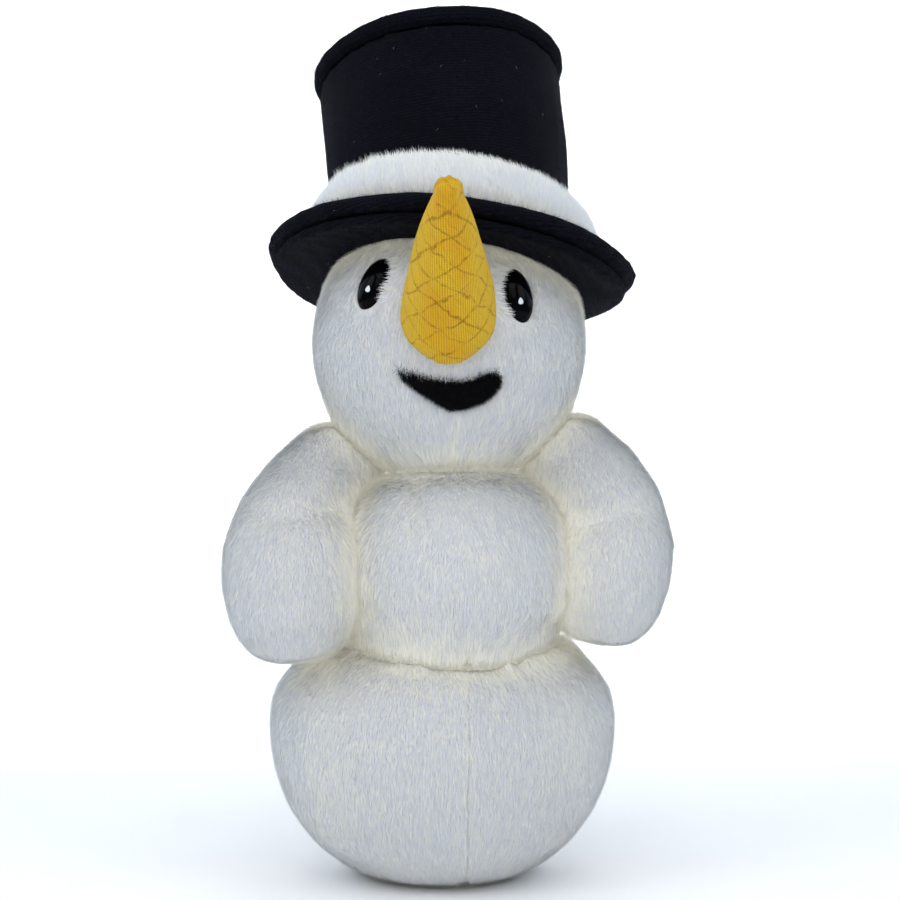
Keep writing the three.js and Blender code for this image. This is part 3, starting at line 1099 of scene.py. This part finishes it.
class PLUSH_OT_hat(bpy.types.Operator):
    """Makes the padded brim, the crown with its rolled seam, and the white band"""

    bl_idname = "plush.hat"
    bl_label = "Hat"

    def execute(self, context):
        pile_library()
        _, ways = own_axes("hat_top")
        axis = ways[:, 2] if ways[2, 2] > 0 else -ways[:, 2]
        turn = tuple(Vector(axis).rotation_difference(Vector((0, 0, 1))).to_euler())
        fleece = fleece_material(turn)
        fuzz = fuzz_material()
        brims = [even_copy(f"hat_brim_{layer}", f"hat_brim_{layer}_fleece", 1.5 * MM, 5)
                 for layer in ("lower", "upper")]
        self.puff_brims(*brims, axis)
        crown = draw_in(even_copy("hat_crown", "hat_crown_fleece", 2.2 * MM, 6), -0.3 * MM)
        top = draw_in(even_copy("hat_top", "hat_top_fleece", 1.3 * MM, 4), -1.0 * MM)
        rolled = draw_in(even_copy("hat_top_seam", "hat_top_seam_fleece", 1.0 * MM, 5), -0.5 * MM)
        for piece, node, fill in (
            (brims[0], "hat_brim_lower", 0.7), (brims[1], "hat_brim_upper", 0.7),
            (crown, "hat_crown", None), (top, "hat_top", None), (rolled, "hat_top_seam", 0.6),
        ):
            self.soften(piece)
            dress(piece, fleece, "black_fleece", node)
        for piece, count in ((brims[0], 16000), (brims[1], 22000), (crown, 34000), (rolled, 14000),
                             (top, 8000)):
            grow_pile(piece, piece.name.replace("fleece", "fuzz"), count,
                      shades=(fuzz, fuzz, fuzz), length=sizes().fuzz_length, width=0.12 * MM,
                      lean=math.radians(55), stray=0.6, wander=3.0, comb=-axis)
        lint = material("lint", (0.20, 0.21, 0.24), 0.9)
        for piece, count in ((crown, 55), (brims[1], 22), (brims[0], 18)):
            grow_pile(piece, piece.name.replace("fleece", "lint"), count,
                      shades=(lint, lint, lint), length=1.6 * MM, width=0.16 * MM,
                      lean=math.radians(80), stray=0.3, wander=6.0)
        self.make_band(axis)
        return {"FINISHED"}

    @staticmethod
    def puff_brims(lower, upper, axis):
        """Fills the upper layer of the brim so that it rolls over the rim of the lower one."""
        draw_in(upper, -1.1 * MM)
        points = corners(lower.data)
        spread = points - points.mean(0)
        out = spread - (spread @ axis)[:, None] * axis
        place_corners(lower.data, points - 0.028 * out - 0.5 * MM * axis)

    @staticmethod
    def soften(piece):
        """Small unevenness of hand sewing."""
        mesh = piece.data
        points, normals = corners(mesh), outward(mesh)
        waves = np.sin(points @ np.array([95.0, 60, 40]))
        waves *= np.sin(points @ np.array([-50.0, 110, 70]) + 1)
        place_corners(mesh, points + normals * (0.35 * MM * waves)[:, None])

    @staticmethod
    def make_band(axis):
        """The band. Its pile is combed upwards and has fewer ivory fibres, and so less of their painted
        glow, on its sides.
        """
        skin = draw_in(even_copy("hat_band", "hat_band_skin", 2.0 * MM, 3), -0.5 * MM)
        place_corners(skin.data, corners(skin.data) - np.array([1.2, 0, 0.8]) * MM)
        refine(skin, 1)
        side = smooth(np.linalg.norm(np.cross(outward(skin.data), axis), axis=1), 0.25, 0.5)
        grow_pile(skin, "hat_band_pile", 62000, near=("hat_brim_upper", "hat_crown"), comb=axis,
                  length=2.8 * MM, width=0.3 * MM, lean=math.radians(64), stray=0.2, wander=0.6,
                  warm=-0.3 * side)
        dress(skin, bpy.data.materials["white_backing"], "white_pile", "hat_band")


class PLUSH_PT_panel(bpy.types.Panel):
    bl_idname = "PLUSH_PT_panel"
    bl_label = "Plush Snowman"
    bl_space_type = "VIEW_3D"
    bl_region_type = "UI"
    bl_category = "Plush Snowman"

    def draw(self, context):
        for group in (context.scene.plush_sizes, context.scene.plush_colours):
            box = self.layout.box()
            for name in group.__annotations__:
                box.prop(group, name)
        for operator in OPERATORS:
            self.layout.operator(operator.bl_idname)


OPERATORS = (
    PLUSH_OT_stage,
    PLUSH_OT_body,
    PLUSH_OT_head,
    PLUSH_OT_face,
    PLUSH_OT_nose,
    PLUSH_OT_hat,
)
CLASSES = (PlushSizes, PlushColours, *OPERATORS, PLUSH_PT_panel)


def register():
    for made in CLASSES:
        bpy.utils.register_class(made)
    bpy.types.Scene.plush_sizes = PointerProperty(type=PlushSizes)
    bpy.types.Scene.plush_colours = PointerProperty(type=PlushColours)


def unregister():
    del bpy.types.Scene.plush_colours
    del bpy.types.Scene.plush_sizes
    for made in reversed(CLASSES):
        bpy.utils.unregister_class(made)


def main():
    register()
    bpy.ops.plush.stage()
    bpy.ops.plush.body()
    bpy.ops.plush.head()
    bpy.ops.plush.face()
    bpy.ops.plush.nose()
    bpy.ops.plush.hat()
    boxes = {"cad": CAD_BOX, "visual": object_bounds()}
    {key: [list(map(float, corner)) for corner in box] for key, box in boxes.items()}


if __name__ == "__main__":
    main()
